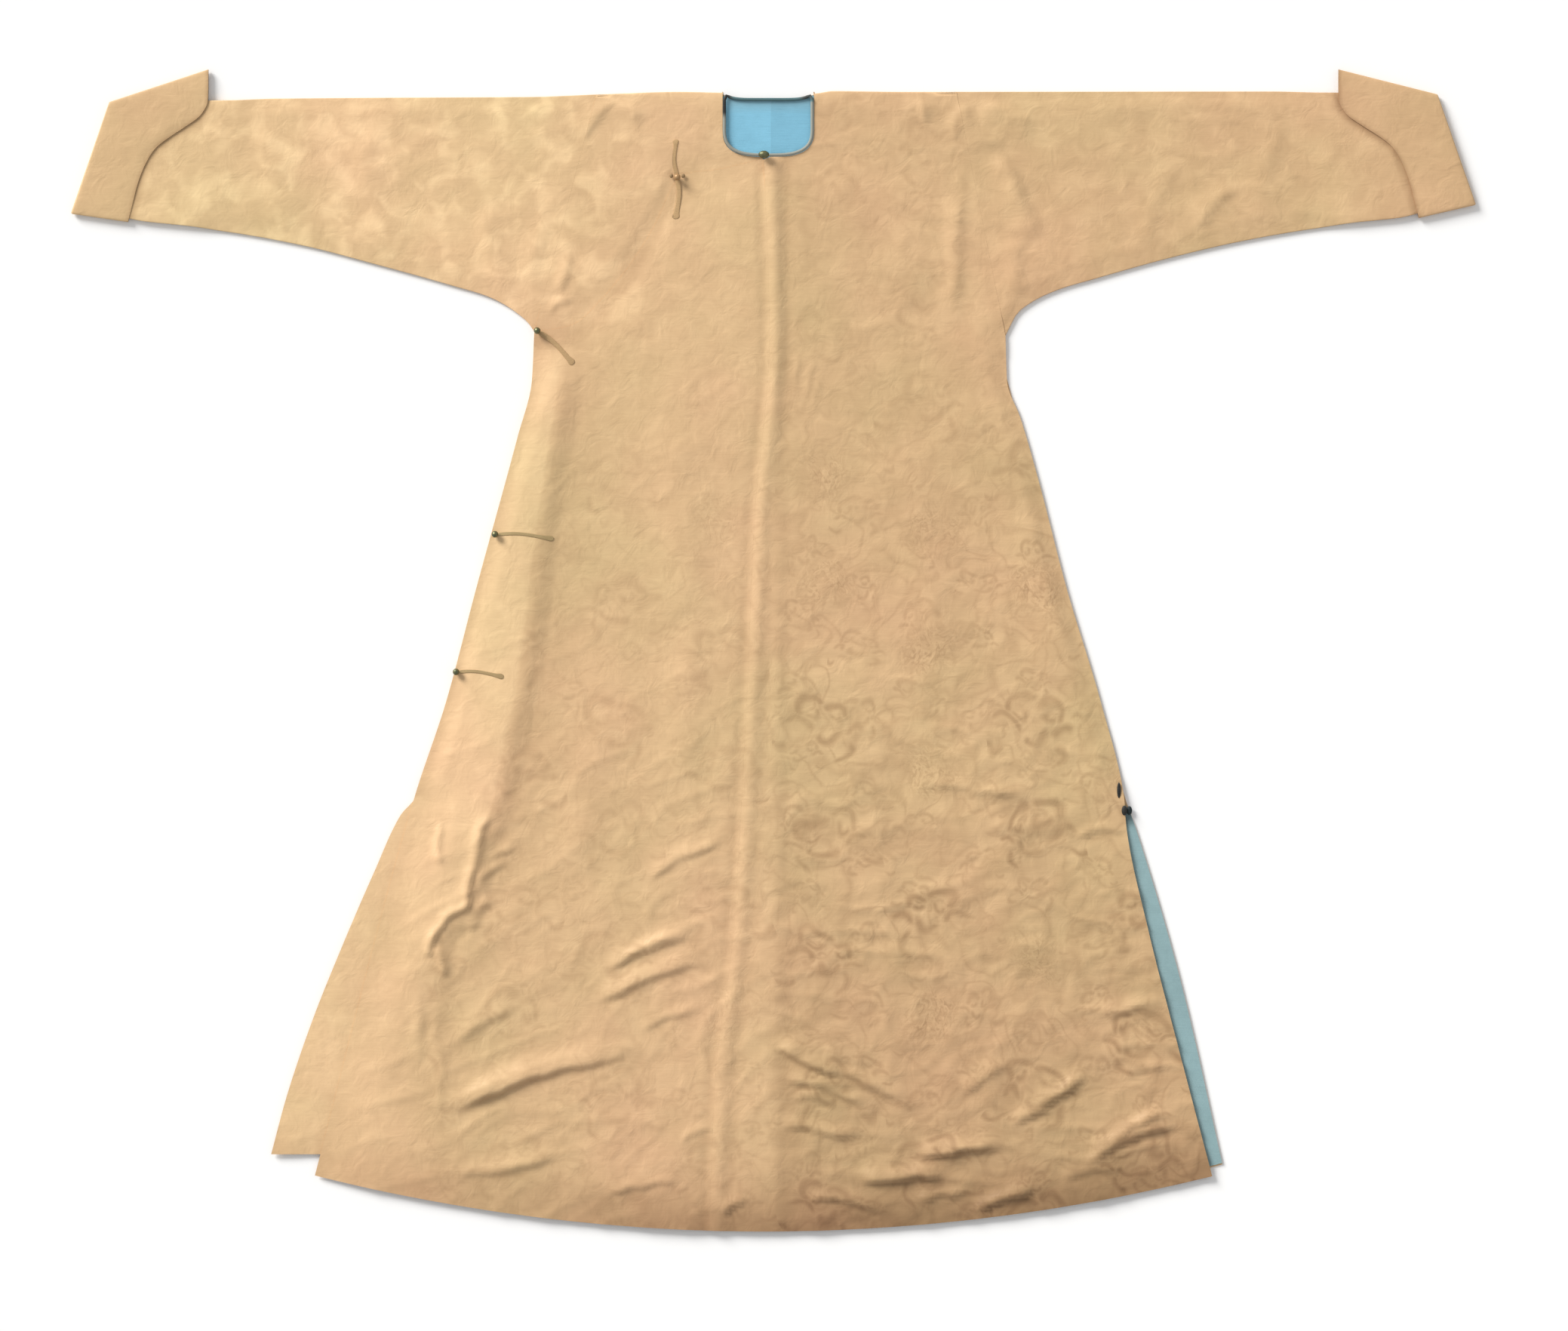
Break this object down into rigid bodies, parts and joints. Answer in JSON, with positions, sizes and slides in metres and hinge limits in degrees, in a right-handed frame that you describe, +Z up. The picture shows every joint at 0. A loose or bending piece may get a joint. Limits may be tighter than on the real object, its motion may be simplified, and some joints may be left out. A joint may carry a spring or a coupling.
{
  "type": "mandarin robe",
  "caption": "Long silk robe laid flat: side-closing front, horseshoe cuffs turned back, side vents, blue lining showing at neck and vent.",
  "frame": {"origin": "centre of the robe's outline, on the surface that it lies on", "axes": "+X towards the wearer's left sleeve, +Y towards the collar, +Z up from the surface"},
  "size_m": [1.7666, 1.461, 0.0178],
  "materials": {
    "damask": "straw-coloured silk damask with tonal clouds",
    "lining": "plain sky-blue silk",
    "piping": "narrow dark silk piping",
    "loops": "flat straps of the robe's own silk",
    "buttons": "tarnished brass balls"
  },
  "bodies": {
    "root": {"right_length": "damask", "left_length": "damask", "overlap": "damask", "right_sleeve": "damask", "left_sleeve": "damask", "right_cuff": "damask", "left_cuff": "damask", "lining_right": "lining", "lining_left": "lining", "neck_binding": "piping", "vent_tack": "piping", "strap_chest": "loops", "loop_chest": "loops", "loop_side": "loops", "loop_waist": "loops", "loop_hip": "loops", "button_neck": "buttons", "button_chest": "buttons", "button_side": "buttons", "button_waist": "buttons", "button_hip": "buttons"}
  },
  "joints": []
}
